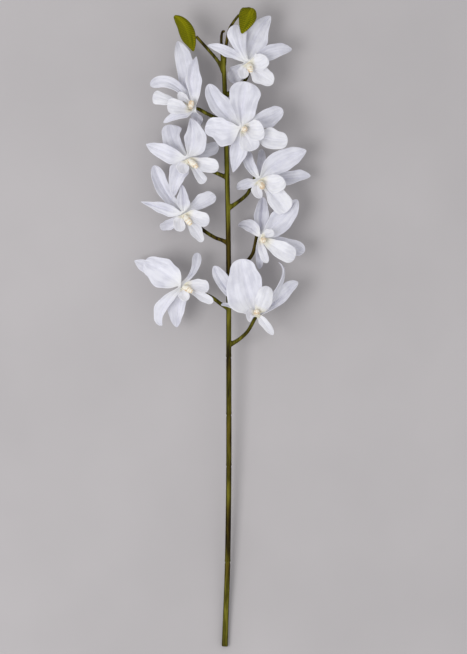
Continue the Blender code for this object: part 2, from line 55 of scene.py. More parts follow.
# Each tepal: the point its midrib passes halfway and its tip, both from the hub; the reach of its left and
# right edge a quarter, half and three quarters of the way along; point (0 round to 1 sharp); turn and twist
# about the midrib in degrees; cup, liftLeft and liftRight (rise of the edges); crease (depth of the fold) and
# creaseAt (where across); wave (ruffle); broad (how quickly it widens from its root). Lengths in millimetres.
flowers = {
    "flower1": {
        "hub": (29, 312, 42), "axis": (0.3, -0.45, 0.85), "column": (5, -14, 14),
        "sepals": [
            {"mid": (11, 28, -6), "tip": (28, 54, -12), "left": (11, 13, 10.5), "right": (13, 15, 8),
             "point": 0.6, "crease": 3, "creaseAt": 0.1, "cup": 2},
            {"mid": (-23, 13, 1), "tip": (-46, 19, 1), "left": (5, 8, 5), "right": (4, 5, 4.5),
             "point": 0.8, "liftLeft": -1},
            {"mid": (-11, -12, -13), "tip": (-19, -22, -41.5), "left": (6, 10, 9), "right": (6, 10, 8)},
        ],
        "petals": [
            {"mid": (27, 9, 1), "tip": (53, 15, -12), "left": (6, 10, 9.5), "right": (6, 8, 5),
             "point": 0.6, "liftRight": 3},
            {"mid": (-9, 21, 6.5), "tip": (-13, 43, 3), "left": (4, 9, 12), "right": (5, 9, 12),
             "point": 0.2, "crease": 1, "cup": -2},
        ],
        "lip": [
            {"mid": (14, -1, 8), "tip": (23, 5, 14), "left": (7, 11, 9), "right": (7, 11, 10), "point": 0,
             "cup": 3},
            {"mid": (-4, -11, 2.5), "tip": (-2, -20, 5), "left": (3, 6, 6.5), "right": (4, 7, 6),
             "point": 0, "cup": 1},
            {"mid": (15, -15, 2), "tip": (31, -26, 2), "left": (3, 11, 11), "right": (6, 12, 8),
             "point": 0.2, "crease": 1.5, "wave": 4},
        ],
    },
    "flower2": {
        "hub": (-31, 257, 43), "axis": (-0.6, 0.1, 0.77), "column": (-3.5, 9, 14),
        "sepals": [
            {"mid": (-15, 43, -13), "tip": (-21, 80, -19), "left": (8, 6, 5.5), "right": (10, 15, 14),
             "point": 0.6, "liftRight": 4, "crease": 2, "creaseAt": -0.4},
            {"mid": (-22, -8, -2), "tip": (-37.5, -16.5, -5), "left": (7, 5, 3), "right": (6, 6, 4),
             "point": 0.6},
            {"mid": (2, -9, -15), "tip": (1, -18, -42.5), "left": (6, 8, 6), "right": (6, 8, 6),
             "turn": 30},
        ],
        "petals": [
            {"mid": (-2, 31.5, 4), "tip": (1, 61, -4), "left": (5, 10, 7.5), "right": (7, 10, 5),
             "point": 0.9, "crease": 3, "creaseAt": 0.4, "cup": 3},
            {"mid": (-28, 29, 3), "tip": (-52.5, 26, 5), "left": (5, 8, 7), "right": (5, 7, 7),
             "turn": 50, "twist": -50, "point": 0, "wave": 1},
        ],
        "lip": [
            {"mid": (-19.5, 1.5, 13), "tip": (-33, 3, 13), "left": (6, 9, 9), "right": (2.5, 7.5, 9),
             "point": 0, "cup": 3},
            {"mid": (-14, 12.5, 8), "tip": (-21, 15, 11), "left": (2, 4, 5), "right": (1.5, 4.5, 5),
             "point": 0, "cup": 2},
            {"mid": (-35, 10.5, 8), "tip": (-50, 14, 5), "left": (3, 7, 9), "right": (3, 6, 8),
             "point": 0, "cup": -1},
        ],
    },
    "flower3": {
        "hub": (22, 234, 58), "axis": (0.35, -0.2, 0.9), "column": (5, -2, 18),
        "sepals": [
            {"mid": (30.5, 12, -7), "tip": (49, 22, -12), "left": (7, 10, 9), "right": (8, 13, 9),
             "point": 0.4, "crease": 2},
            {"mid": (-24, 26, -9), "tip": (-37.5, 51.5, -10), "left": (9, 12, 9.5), "right": (11, 13, 9),
             "point": 0.3, "liftLeft": 5, "crease": 2, "creaseAt": 0.2},
            {"mid": (-3.5, -28, -6), "tip": (-9, -52, -8), "left": (12, 11, 6), "right": (8, 9.5, 6),
             "point": 0.9},
        ],
        "petals": [
            {"mid": (2.3, 27, -1), "tip": (7, 54, -8), "left": (8, 15.5, 18), "right": (14, 17, 19.5),
             "point": 0.1, "crease": 4, "creaseAt": 0.1, "cup": 4},
            {"mid": (-22, -2.3, 2), "tip": (-42, -1, 0), "left": (17, 21, 9), "right": (8, 14, 14),
             "point": 0, "cup": 3, "wave": 4},
        ],
        "lip": [
            {"mid": (15, -3, 12), "tip": (27, -2, 16), "left": (7, 12, 11), "right": (5, 12, 13),
             "point": 0, "cup": 4},
            {"mid": (8, -15, 8), "tip": (12, -28, 12), "left": (4, 12, 12), "right": (6, 11, 11),
             "point": 0, "cup": 3},
            {"mid": (31.5, -12, 4), "tip": (55, -15, 2), "left": (3, 13, 10), "right": (4, 13, 11),
             "point": 0, "cup": 1.5, "crease": 3, "creaseAt": -0.1},
        ],
    },
    "flower4": {
        "hub": (-42, 199, 42), "axis": (0.45, -0.35, 0.8), "column": (14, -12, 13),
        "sepals": [
            {"mid": (22, 9, -10), "tip": (37.5, 16.5, -16), "left": (6, 8, 7), "right": (6, 8, 9),
             "turn": 20, "point": 0.2},
            {"mid": (-15, 21, -11), "tip": (-19, 40, -18), "left": (7, 12, 10.5), "right": (6, 9, 14),
             "point": 0, "crease": 1.5},
            {"mid": (-10.5, -23.5, -5), "tip": (-14, -44.5, -4), "left": (10, 8, 5),
             "right": (12, 10.5, 7), "point": 0.6, "crease": 1.5},
        ],
        "petals": [
            {"mid": (9.5, 23.5, -1), "tip": (4.7, 47, -9), "left": (9, 13, 7), "right": (14, 15, 8),
             "point": 0.8, "crease": 2, "creaseAt": 0.3, "cup": 3},
            {"mid": (-27, 8, 2), "tip": (-47, 16.5, -6), "left": (11, 10, 6.5), "right": (7, 9, 6),
             "point": 1, "crease": 1.5},
        ],
        "lip": [
            {"mid": (22, -8, 9), "tip": (38.5, -10.5, 13), "left": (5, 9, 9), "right": (6, 9, 8),
             "point": 0, "cup": 3},
            {"mid": (-2.5, -10.5, 5), "tip": (0, -18, 11), "left": (4, 5.5, 6), "right": (6, 9, 8),
             "point": 0, "cup": 3},
            {"mid": (15, -20, 2), "tip": (22, -29, 4), "left": (3, 5.5, 6), "right": (3, 5.5, 6),
             "point": 0.1},
        ],
    },
    "flower5": {
        "hub": (42, 175, 42), "axis": (0.35, -0.45, 0.82), "column": (6, -13, 14),
        "sepals": [
            {"mid": (34, 0, -10), "tip": (62, 3.5, -16), "left": (6, 9, 10), "right": (5, 8, 3.5),
             "point": 0.5, "crease": 1.5},
            {"mid": (4, 19, -13), "tip": (4.7, 36, -41.5), "left": (4, 5, 4.5), "right": (4, 5, 4.5)},
            {"mid": (-14, -7, -9), "tip": (-24.5, -11.5, -26), "left": (5, 5, 3), "right": (6, 7, 6)},
        ],
        "petals": [
            {"mid": (27, 20, -1), "tip": (57, 33, -6), "left": (11, 13.5, 10), "right": (9, 14, 11),
             "point": 0.7, "crease": 3, "cup": 3},
            {"mid": (-9.5, 17.5, -2), "tip": (-15, 34, -12), "left": (5, 7, 7), "right": (5, 6, 7),
             "crease": 1.5},
        ],
        "lip": [
            {"mid": (17.5, -6, 10), "tip": (30.5, -1, 15), "left": (8, 11, 10), "right": (4, 12, 11),
             "point": 0, "cup": 3},
            {"mid": (-1, -13, 3), "tip": (4, -23, 8), "left": (4, 5, 5), "right": (4, 7, 6), "point": 0.2,
             "cup": 3},
            {"mid": (20, -22, 3), "tip": (33, -40, 3), "left": (3, 14, 14), "right": (4, 11, 11),
             "point": 0, "crease": 2.5},
        ],
    },
    "flower6": {
        "hub": (-46, 135, 42), "axis": (0.3, -0.5, 0.8), "column": (10.5, -15, 14),
        "sepals": [
            {"mid": (23, 11, -8), "tip": (38, 21, -12), "left": (7, 12, 10), "right": (4, 6, 6.5),
             "point": 0.1},
            {"mid": (-21, 27, -17), "tip": (-34, 56, -19), "left": (7, 10, 8), "right": (5, 7, 9),
             "point": 0.2, "liftLeft": 3, "crease": 2},
            {"mid": (-15, -14, -11), "tip": (-27, -16.5, -41.6), "left": (5, 6, 4), "right": (5, 7, 6),
             "point": 0.2},
        ],
        "petals": [
            {"mid": (1, 17.5, 2), "tip": (-1, 33, -7), "left": (7, 8, 4), "right": (7, 6, 3.5),
             "point": 0.7, "crease": 2.5},
            {"mid": (-26, 6, 0), "tip": (-49, 13, -6), "left": (7, 6.5, 3), "right": (6, 7, 3),
             "point": 1, "crease": 2.5},
        ],
        "lip": [
            {"mid": (17.5, -7, 9), "tip": (31.5, -10.5, 15), "left": (8, 9, 9), "right": (3, 6, 8),
             "point": 0, "cup": 3},
            {"mid": (-3, -11, 4), "tip": (-1, -22, 9), "left": (4, 5, 6), "right": (5, 8, 8), "point": 0,
             "cup": 3},
            {"mid": (15, -22, 1), "tip": (23.5, -34, 4), "left": (6, 9, 5), "right": (4, 7, 4.5),
             "point": 0.1},
        ],
    },
    "flower7": {
        "hub": (44, 107, 42), "axis": (0.4, -0.35, 0.85), "column": (4.5, -5, 14),
        "sepals": [
            {"mid": (29.5, -7, -8), "tip": (53, -17.5, -7), "left": (4, 6, 8), "right": (5, 10, 10),
             "point": 0},
            {"mid": (2.3, 22, -12), "tip": (4.7, 47, -25), "left": (6, 10, 7), "right": (6, 9, 6),
             "point": 0.4, "crease": 4, "cup": 5},
            {"mid": (0, -22, -4), "tip": (0, -37.5, -12), "left": (4, 4.5, 4), "right": (4, 4.5, 4),
             "point": 0.4},
        ],
        "petals": [
            {"mid": (24.5, 17.5, -1), "tip": (44.5, 43.5, -8), "left": (9, 15, 11), "right": (10, 13, 10),
             "point": 0.5, "crease": 3, "creaseAt": 0.3},
            {"mid": (-12, 11, -8), "tip": (-25, 14.5, -41.6), "left": (4, 5, 3.5), "right": (8, 9.5, 6),
             "point": 0.6},
        ],
        "lip": [
            {"mid": (10, 3, 9), "tip": (17, 4, 15), "left": (4, 6, 5), "right": (2.4, 4, 4), "point": 0,
             "cup": 2},
            {"mid": (23, -16, 9), "tip": (41, -26, 7), "left": (7, 12, 13), "right": (6, 9, 9),
             "point": 0.1},
            {"mid": (3, -16, 6), "tip": (9, -31, 5), "left": (3, 5, 5), "right": (3, 5, 5), "point": 0.1},
        ],
    },
    "flower8": {
        "hub": (-48, 50, 42), "axis": (0.45, -0.25, 0.85), "column": (14, -8, 14),
        "sepals": [
            {"mid": (15, 17.5, -6), "tip": (19, 38.5, -18), "left": (2.5, 4, 6), "right": (2.5, 4, 5.5),
             "point": 0},
            {"mid": (-30.5, 20, -11), "tip": (-55, 29, -28), "left": (8, 12, 9), "right": (6, 7, 4.5),
             "point": 0.8},
            {"mid": (-3.5, -28, -8), "tip": (-5, -49, -10), "left": (8, 8, 5), "right": (7, 13, 8),
             "point": 0.6, "crease": 1.5},
        ],
        "petals": [
            {"mid": (-21, 15, 0), "tip": (-43, 28, -4), "left": (13, 20, 13), "right": (13, 17, 12),
             "point": 0.1, "crease": 1.5, "cup": 4, "broad": 1.6},
            {"mid": (-21, -28, 2), "tip": (-22, -47, 2), "left": (4, 4, 2), "right": (7, 10.5, 8),
             "point": 0.5},
        ],
        "lip": [
            {"mid": (20, -1.5, 9), "tip": (33, -3.5, 15), "left": (6, 9, 9), "right": (3, 5, 7),
             "point": 0, "cup": 3},
            {"mid": (3, -10, 4), "tip": (7, -18, 9), "left": (4, 5, 6), "right": (4, 7, 6), "point": 0,
             "cup": 3},
            {"mid": (25, -13, 2), "tip": (37.5, -20, 5), "left": (3, 5, 5), "right": (3, 6, 5),
             "point": 0.1},
        ],
    },
    "flower9": {
        "hub": (40, 14, 48), "axis": (0.2, 0.4, 0.85), "column": (-2, 5, 13),
        "sepals": [
            {"mid": (29, 22, -5), "tip": (49, 40, -14), "left": (8, 11, 10), "right": (5, 7.5, 4),
             "point": 0.3, "crease": 2},
            {"mid": (-34, 31, -9), "tip": (-49, 59, -9), "left": (4, 6, 6), "right": (4, 12, 10),
             "point": 0.3, "crease": 2},
            {"mid": (-27, 11.5, -7), "tip": (-41, 13, -6), "left": (3, 3, 2), "right": (3, 3, 2)},
        ],
        "petals": [
            {"mid": (29, 42, 2), "tip": (26, 63, -5), "left": (5, 7, 5), "right": (5, 7, 5), "turn": 65},
            {"mid": (-12, 37.5, -1), "tip": (-17.5, 67, -5), "left": (24, 23, 15), "right": (15, 19, 16),
             "point": 0.1, "crease": 2, "cup": 5, "broad": 3},
        ],
        "lip": [
            {"mid": (8, 17, 16), "tip": (13, 35, 12), "left": (7, 10, 9.5), "right": (8, 11, 9.5),
             "point": 0, "cup": -3, "broad": 1.6},
            {"mid": (-7, 2, 8), "tip": (-7.5, -7, 12), "left": (5, 6, 4), "right": (5, 6, 4), "cup": 2},
            {"mid": (8, -6, 8), "tip": (20, -22, 5), "left": (3, 5, 5), "right": (3, 5.5, 4.5),
             "point": 0.2},
        ],
    },
}


def mix(first, second, share):
    return first + (second - first) * share


def ease(value):
    value = min(max(value, 0), 1)
    return value * value * (3 - 2 * value)


def smoothLine(points, steps):
    line = []
    for index in range(len(points) - 1):
        before = points[max(index - 1, 0)]
        start = points[index]
        end = points[index + 1]
        after = points[min(index + 2, len(points) - 1)]
        for step in range(steps):
            t = step / steps
            line.append(tuple(
                b + 0.5 * t * ((c - a) + (2 * a - 5 * b + 4 * c - d) * t + (3 * b - a - 3 * c + d) * t * t)
                for a, b, c, d in zip(before, start, end, after)
            ))
    line.append(tuple(float(value) for value in points[-1]))
    return line


def newObject(name, bm, material, smoothFaces=True):
    bmesh.ops.scale(bm, vec=(mm, mm, mm), verts=bm.verts)
    mesh = bpy.data.meshes.new(name)
    bm.to_mesh(mesh)
    bm.free()
    item = bpy.data.objects.new(name, mesh)
    bpy.context.scene.collection.objects.link(item)
    mesh.materials.append(material)
    for polygon in mesh.polygons:
        polygon.use_smooth = smoothFaces
    return item


def subdivide(item, levels):
    modifier = item.modifiers.new("rounding", "SUBSURF")
    modifier.levels = levels
    modifier.render_levels = levels


def stand(item, node):
    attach(item, "root")
    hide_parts(node)


# Materials

def startMaterial(name):
    material = bpy.data.materials.new(name)
    material.use_nodes = True
    nodes = material.node_tree.nodes
    return material, nodes, material.node_tree.links, nodes["Principled BSDF"]


def addNode(nodes, kind, **values):
    node = nodes.new(kind)
    for key, value in values.items():
        if hasattr(node, key):
            setattr(node, key, value)
        else:
            node.inputs[key.replace("_", " ")].default_value = value
    return node


def ramp(nodes, links, source, stops):
    node = nodes.new("ShaderNodeValToRGB")
    elements = node.color_ramp.elements
    while len(elements) < len(stops):
        elements.new(0.5)
    for element, (position, colour) in zip(elements, stops):
        element.position = position
        element.color = (colour[0], colour[1], colour[2], 1)
    links.new(source, node.inputs[0])
    return node.outputs[0]


def multiply(nodes, links, colour, factor):
    node = addNode(nodes, "ShaderNodeMix", data_type="RGBA", blend_type="MULTIPLY")
    node.inputs["Factor"].default_value = 1.0
    links.new(colour, node.inputs[6])
    links.new(factor, node.inputs[7])
    return node.outputs[2]


def bladePlace(nodes, links):
    place = addNode(nodes, "ShaderNodeUVMap", uv_map="blade")
    split = addNode(nodes, "ShaderNodeSeparateXYZ")
    links.new(place.outputs[0], split.inputs[0])
    return place.outputs[0], split.outputs["X"], split.outputs["Y"]


def objectPlace(nodes):
    return addNode(nodes, "ShaderNodeTexCoord").outputs["Object"]


def stretched(nodes, links, place, scale):
    node = addNode(nodes, "ShaderNodeMapping")
    node.inputs["Scale"].default_value = scale
    links.new(place, node.inputs["Vector"])
    return node.outputs[0]


def cloudy(nodes, links, place, scale, detail, roughness=0.5):
    node = addNode(nodes, "ShaderNodeTexNoise", Scale=scale, Detail=detail, Roughness=roughness)
    links.new(place, node.inputs["Vector"])
    return node.outputs[0]


def bumpy(nodes, links, height, strength, distance, under=None):
    node = addNode(nodes, "ShaderNodeBump", Strength=strength, Distance=distance)
    links.new(height, node.inputs["Height"])
    if under is not None:
        links.new(under, node.inputs["Normal"])
    return node.outputs[0]


def blend(nodes, links, mask, under, colour, kind="MIX"):
    node = addNode(nodes, "ShaderNodeMix", data_type="RGBA", blend_type=kind)
    links.new(mask, node.inputs["Factor"])
    links.new(under, node.inputs[6])
    node.inputs[7].default_value = colour + (1,)
    return node.outputs[2]


def average(nodes, links, first, second):
    both = addNode(nodes, "ShaderNodeMath", operation="ADD")
    links.new(first, both.inputs[0])
    links.new(second, both.inputs[1])
    half = addNode(nodes, "ShaderNodeMath", operation="MULTIPLY")
    links.new(both.outputs[0], half.inputs[0])
    half.inputs[1].default_value = 0.5
    return half.outputs[0]


def grey(value):
    return (value, value, value)


white = grey(1)
black = grey(0)

petalLook = {
    "petal": {"bright": (0.79, 0.79, 0.87), "shade": (0.62, 0.62, 0.70), "root": (0.84, 0.84, 0.87)},
    "lip": {"bright": (0.82, 0.82, 0.87), "shade": (0.68, 0.68, 0.74), "root": (0.88, 0.85, 0.72)},
}
petalFinish = {
    "pleatShade": (7, 1.6, 1),  # painted shade in lengthwise pleat streaks, its scale across and along a tepal
    "veins": (18, 2.0, 1),
    "cloud": 55.0,
    "weave": 1800.0,
    # edge and beside set a thin painted highlight along each tepal's rim; the midrib colour is painted shade
    # down the crease in the middle of the tepal.
    "edge": 0.95,
    "beside": 0.96,
    "midrib": (0.86, 0.86, 0.88),
    "glow": (0.004, 0.004, 0.005),
}


def petalMaterial(name):
    look = petalLook[name]
    material, nodes, links, shader = startMaterial(name)
    place, across, along = bladePlace(nodes, links)
    spot = objectPlace(nodes)
    # Painted soft shade: lengthwise pleat streaks and cloudy patches move each tepal between its bright and
    # its shaded colour.
    pleatShade = cloudy(nodes, links, stretched(nodes, links, place, petalFinish["pleatShade"]), 1.0, 3.0)
    cloud = cloudy(nodes, links, spot, petalFinish["cloud"], 3.0)
    patches = average(nodes, links, pleatShade, cloud)
    tone = ramp(nodes, links, patches, [(0.40, look["shade"]), (0.56, look["bright"])])
    rootMask = ramp(nodes, links, along, [(0.04, white), (0.22, black)])
    colour = blend(nodes, links, rootMask, tone, look["root"])
    edge = grey(petalFinish["edge"])
    beside = grey(petalFinish["beside"])
    # Painted shade darkens the crease down the middle of each tepal, and a thin painted highlight brightens
    # its rim.
    fold = ramp(nodes, links, across, [
        (0.0, white), (0.05, edge), (0.44, beside), (0.5, petalFinish["midrib"]),
        (0.56, beside), (0.95, edge), (1.0, white),
    ])
    links.new(multiply(nodes, links, colour, fold), shader.inputs["Base Color"])
    shader.inputs["Roughness"].default_value = 0.58
    shader.inputs["Subsurface Weight"].default_value = 0.1
    shader.inputs["Subsurface Radius"].default_value = petalFinish["glow"]
    shader.inputs["Subsurface Scale"].default_value = 0.5
    shader.inputs["Specular IOR Level"].default_value = 0.3
    veins = cloudy(nodes, links, stretched(nodes, links, place, petalFinish["veins"]), 1.0, 3.0)
    weave = cloudy(nodes, links, spot, petalFinish["weave"], 2.0, 0.6)
    fine = bumpy(nodes, links, weave, 0.12, 0.0002)
    links.new(bumpy(nodes, links, veins, 0.5, 0.0012, fine), shader.inputs["Normal"])
    return material


columnLook = {
    "base": (0.86, 0.84, 0.76),
    "middle": (0.87, 0.83, 0.72),
    "upper": (0.82, 0.68, 0.50),
    "tip": (0.72, 0.46, 0.18),
    "flecks": (0.66, 0.50, 0.33),
    "fleckScale": 260.0,
    "grainScale": 900.0,
}


def columnMaterial():
    look = columnLook
    material, nodes, links, shader = startMaterial("column")
    along = bladePlace(nodes, links)[2]
    spot = objectPlace(nodes)
    tone = ramp(nodes, links, along, [
        (0.0, look["base"]), (0.45, look["middle"]), (0.7, look["upper"]), (1.0, look["tip"]),
    ])
    flecks = cloudy(nodes, links, spot, look["fleckScale"], 2.0)
    fleckMask = ramp(nodes, links, flecks, [(0.50, black), (0.62, white)])
    colour = blend(nodes, links, fleckMask, tone, look["flecks"])
    links.new(colour, shader.inputs["Base Color"])
    shader.inputs["Roughness"].default_value = 0.5
    grain = cloudy(nodes, links, spot, look["grainScale"], 3.0)
    links.new(bumpy(nodes, links, grain, 0.2, 0.0004), shader.inputs["Normal"])
    return material


stemLook = {
    "dark": (0.026, 0.020, 0.002),
    "olive": (0.076, 0.070, 0.004),
    "pale": (0.165, 0.155, 0.016),
    "brown": (0.55, 0.42, 0.35),
    # sides: colour of the painted shade on the flanks of the stem and its stalks, where the round surface
    # turns away from the light above.
    "sides": (0.35, 0.33, 0.3),
    "streaks": (260, 22, 260),
    "patchScale": 14.0,
}


def stemMaterial():
    look = stemLook
    material, nodes, links, shader = startMaterial("stem")
    spot = objectPlace(nodes)
    streaks = cloudy(nodes, links, stretched(nodes, links, spot, look["streaks"]), 1.0, 5.0, 0.6)
    tone = ramp(nodes, links, streaks, [(0.38, look["dark"]), (0.5, look["olive"]), (0.64, look["pale"])])
    patches = cloudy(nodes, links, spot, look["patchScale"], 3.0)
    patchMask = ramp(nodes, links, patches, [(0.48, black), (0.62, white)])
    colour = blend(nodes, links, patchMask, tone, look["brown"], "MULTIPLY")
    # Painted shade: the stem's flanks, which face sideways rather than up or down, are darkened towards the
    # sides colour.
    upward = addNode(nodes, "ShaderNodeAttribute", attribute_name="upward")
    sides = ramp(nodes, links, upward.outputs["Fac"], [(0.3, look["sides"]), (0.8, white)])
    links.new(multiply(nodes, links, colour, sides), shader.inputs["Base Color"])
    shader.inputs["Roughness"].default_value = 0.65
    shader.inputs["Specular IOR Level"].default_value = 0.08
    links.new(bumpy(nodes, links, streaks, 0.3, 0.0005), shader.inputs["Normal"])
    return material


budLook = {
    "dark": (0.075, 0.088, 0.001),
    "olive": (0.21, 0.20, 0.002),
    "yellow": (0.48, 0.42, 0.010),
    # sides: colour of the painted shade on the flanks and underside of a bud, away from its lit top.
    "sides": (0.42, 0.46, 0.3),
    "cap": (0.6, 0.66, 0.5),
    "streaks": (17, 1.3, 1),  # around and along a bud
}


def budMaterial():
    look = budLook
    material, nodes, links, shader = startMaterial("bud")
    place, around, along = bladePlace(nodes, links)
    streaks = cloudy(nodes, links, stretched(nodes, links, place, look["streaks"]), 1.0, 4.0, 0.6)
    tone = ramp(nodes, links, streaks, [(0.40, look["dark"]), (0.49, look["olive"]), (0.58, look["yellow"])])
    # Painted shade: each bud is darker round its flanks and underside and stays bright along its top.
    sides = ramp(nodes, links, around, [
        (0.0, white), (0.1, grey(0.95)), (0.2, look["sides"]),
        (0.8, look["sides"]), (0.9, grey(0.95)), (1.0, white),
    ])
    ends = ramp(nodes, links, along, [(0.0, white), (0.7, white), (0.9, look["cap"])])
    shaded = multiply(nodes, links, multiply(nodes, links, tone, sides), ends)
    links.new(shaded, shader.inputs["Base Color"])
    shader.inputs["Roughness"].default_value = 0.65
    shader.inputs["Specular IOR Level"].default_value = 0.05
    links.new(bumpy(nodes, links, streaks, 0.5, 0.001), shader.inputs["Normal"])
    return material


materials = {
    "petal": petalMaterial("petal"),
    "lip": petalMaterial("lip"),
    "column": columnMaterial(),
    "stem": stemMaterial(),
    "bud": budMaterial(),
}
print("materials ready")


# Flowers

bladeShape = {
    "closing": 0.78,  # how far along the end starts to close
    "tipHalf": 0.4,  # half the width left at the very tip
    "leastEnd": 0.6,
    "firstSwell": 1.1,
    "softness": 0.6,  # 0 straight edges between the given widths, 1 fully eased
    "rootShare": 0.35,  # how far along the blade turns from its ring to its own plane
    "creaseWidth": 0.16,
    "uneven": 0.09,
}


def halfWidth(blade, side, t):
    quarter, half, late = blade[side]
    late = max(late, bladeShape["leastEnd"])
    closing = bladeShape["closing"]
    tipHalf = bladeShape["tipHalf"]
    if t >= closing:
        share = (t - closing) / (1 - closing)
        roundEnd = late * math.sqrt(max(1 - share * share, 0))
        sharpEnd = late * (1 - share)
        return tipHalf + mix(roundEnd, sharpEnd, blade.get("point", 0.5)) * (late - tipHalf) / late
    quarter *= bladeShape["firstSwell"]
    knots = [(0, finish["rootHalf"]), (0.25, quarter), (0.5, half), (closing, late)]
    for (low, start), (high, end) in zip(knots, knots[1:]):
        if t <= high:
            share = (t - low) / (high - low)
            if low == 0:
                share = share ** (1 / blade.get("broad", 1.25))
            return mix(start, end, mix(share, ease(share), bladeShape["softness"]))
    return late


def bladeFrame(blade, root, ringWay, t):
    mid = Vector(blade["mid"])
    tip = Vector(blade["tip"])
    control = mid * 2 - (root + tip) * 0.5
    centre = root * (1 - t) ** 2 + control * 2 * t * (1 - t) + tip * t * t
    ahead = ((control - root) * (1 - t) + (tip - control) * t).normalized()
    level = Vector((tip.x - root.x, tip.y - root.y, 0)).normalized()
    flat = Vector((ahead.x, ahead.y, 0)).lerp(level, 0.5)
    turn = math.radians(blade.get("turn", 0) + blade.get("twist", 0) * t)
    side = Vector((0, 0, 1)).cross(flat.normalized())
    side = side * math.cos(turn) + ahead.cross(side) * math.sin(turn)
    wide = ringWay.lerp(side, ease(t / bladeShape["rootShare"]))
    wide = (wide - ahead * wide.dot(ahead)).normalized()
    return centre, wide, ahead.cross(wide)


def bladeLift(blade, s, t, body):
    # the tip's place gives each blade its own ripple
    ripplePlace = Vector((s * 0.8, t * 2.4, blade["tip"][0] * 0.37 + blade["tip"][1] * 0.21))
    edge = blade.get("liftLeft", 0) if s > 0 else blade.get("liftRight", 0)
    fold = math.exp(-((s - blade.get("creaseAt", 0)) / bladeShape["creaseWidth"]) ** 2)
    lift = blade.get("cup", 2) * s * s
    lift += edge * abs(s) ** 2.2
    lift -= blade.get("crease", 1.0) * fold
    lift += blade.get("wave", 2.2) * noise.noise(ripplePlace) * (0.2 + s * s)
    return lift * body


def bladePoint(blade, root, ringWay, s, t):
    centre, wide, rise = bladeFrame(blade, root, ringWay, t)
    body = math.sin(math.pi * min(t * 1.02, 1)) ** 0.6 if t > 0 else 0
    half = halfWidth(blade, "left" if s > 0 else "right", t)
    uneven = noise.noise(Vector((t * 5.3, s * 1.4, blade["tip"][1] * 0.53)))
    half *= 1 + bladeShape["uneven"] * body * uneven
    return centre + wide * (s * half) + rise * bladeLift(blade, s, t, body)


def spread(angles):
    least = math.radians(finish["rootGap"])
    for attempt in range(60):  # more than enough for three roots to settle
        for index in range(len(angles)):
            other = (index + 1) % len(angles)
            gap = angles[other] - angles[index] + (2 * math.pi if other == 0 else 0)
            if gap < least:
                angles[index] -= (least - gap) / 2
                angles[other] += (least - gap) / 2
    return angles


def makeWhorl(name, flower, part, level, along, thick, slot):
    hub = Vector(flower["hub"])
    axis = Vector(flower["axis"]).normalized()
    first = (Vector((1, 0, 0)) - axis * axis.x).normalized()
    second = axis.cross(first)
    placed = []
    for blade in flower[part]:
        mid = Vector(blade["mid"])
        placed.append((math.atan2(mid.dot(second), mid.dot(first)), blade))
    placed.sort(key=lambda entry: entry[0])
    angles = spread([angle for angle, blade in placed])
    blades = [blade for angle, blade in placed]
    bm = bmesh.new()
    flow = bm.loops.layers.uv.new("blade")
    across = finish["across"]
    roots = []
    for angle, blade in zip(angles, blades):
        out = first * math.cos(angle) + second * math.sin(angle)
        root = axis * level + out * finish["ringRadius"]
        made = bmesh.ops.create_grid(bm, x_segments=across, y_segments=along, size=0.5)
        rows = sorted(made["verts"], key=lambda vert: (round(vert.co.y, 4), vert.co.x))
        roots += rows[: across + 1]
        for vert in made["verts"]:
            for corner in vert.link_loops:
                corner[flow].uv = (vert.co.x + 0.5, vert.co.y + 0.5)
        for vert in made["verts"]:
            s = vert.co.x * 2
            t = 1 - (1 - min(max(vert.co.y + 0.5, 0), 1)) ** 1.4  # rows lie closer together at the tip
            vert.co = hub + bladePoint(blade, root, axis.cross(out), s, t)
    cap = bm.faces.new(roots)
    bmesh.ops.poke(bm, faces=[cap])
    bmesh.ops.recalc_face_normals(bm, faces=bm.faces)
    item = newObject(name + "_detail", bm, materials[slot])
    skin = item.modifiers.new("thickness", "SOLIDIFY")
    skin.thickness = thick * mm
    skin.offset = 0
    subdivide(item, 1)
    stand(item, name)


def tube(bm, stations, sides, ridge=0):
    centres = [Vector(station[:3]) for station in stations]
    last = len(centres) - 1
    flow = bm.loops.layers.uv.get("blade") or bm.loops.layers.uv.new("blade")
    disc = bmesh.ops.create_circle(bm, cap_ends=True, segments=sides, radius=1)
    ring = disc["verts"]
    face = ring[0].link_faces[0]
    across = Vector((0, 0, 1))
    for index, centre in enumerate(centres):
        if index > 0:
            grown = bmesh.ops.extrude_face_region(bm, geom=[face])
            if index > 1:
                bmesh.ops.delete(bm, geom=[face], context="FACES_ONLY")
            face = [part for part in grown["geom"] if isinstance(part, bmesh.types.BMFace)][0]
            ring = [loop.vert for loop in face.loops]
            for corner, vert in enumerate(ring):
                for loop in vert.link_loops:
                    if loop.face != face:
                        loop[flow].uv = (corner / sides, index / last)
        ahead = (centres[min(index + 1, last)] - centres[max(index - 1, 0)]).normalized()
        across = (across - ahead * across.dot(ahead)).normalized()
        other = ahead.cross(across)
        for corner, vert in enumerate(ring):
            angle = 2 * math.pi * corner / sides
            offset = across * math.cos(angle) + other * math.sin(angle)
            swell = 1 + ridge * (math.sqrt(abs(math.sin(1.5 * angle + index * 0.04))) - 0.75)  # three ribs
            vert.co = centre + offset * (stations[index][3] * swell)
    bmesh.ops.recalc_face_normals(bm, faces=bm.faces)


# Column: its radii from the base up, how far out along the flower's axis it starts and how far out it bends.
columnShape = {"radii": (1.7, 2.4, 3.0, 3.5, 3.8, 3.8, 3.2, 1.5), "base": 6.4, "bend": 11, "sides": 16}


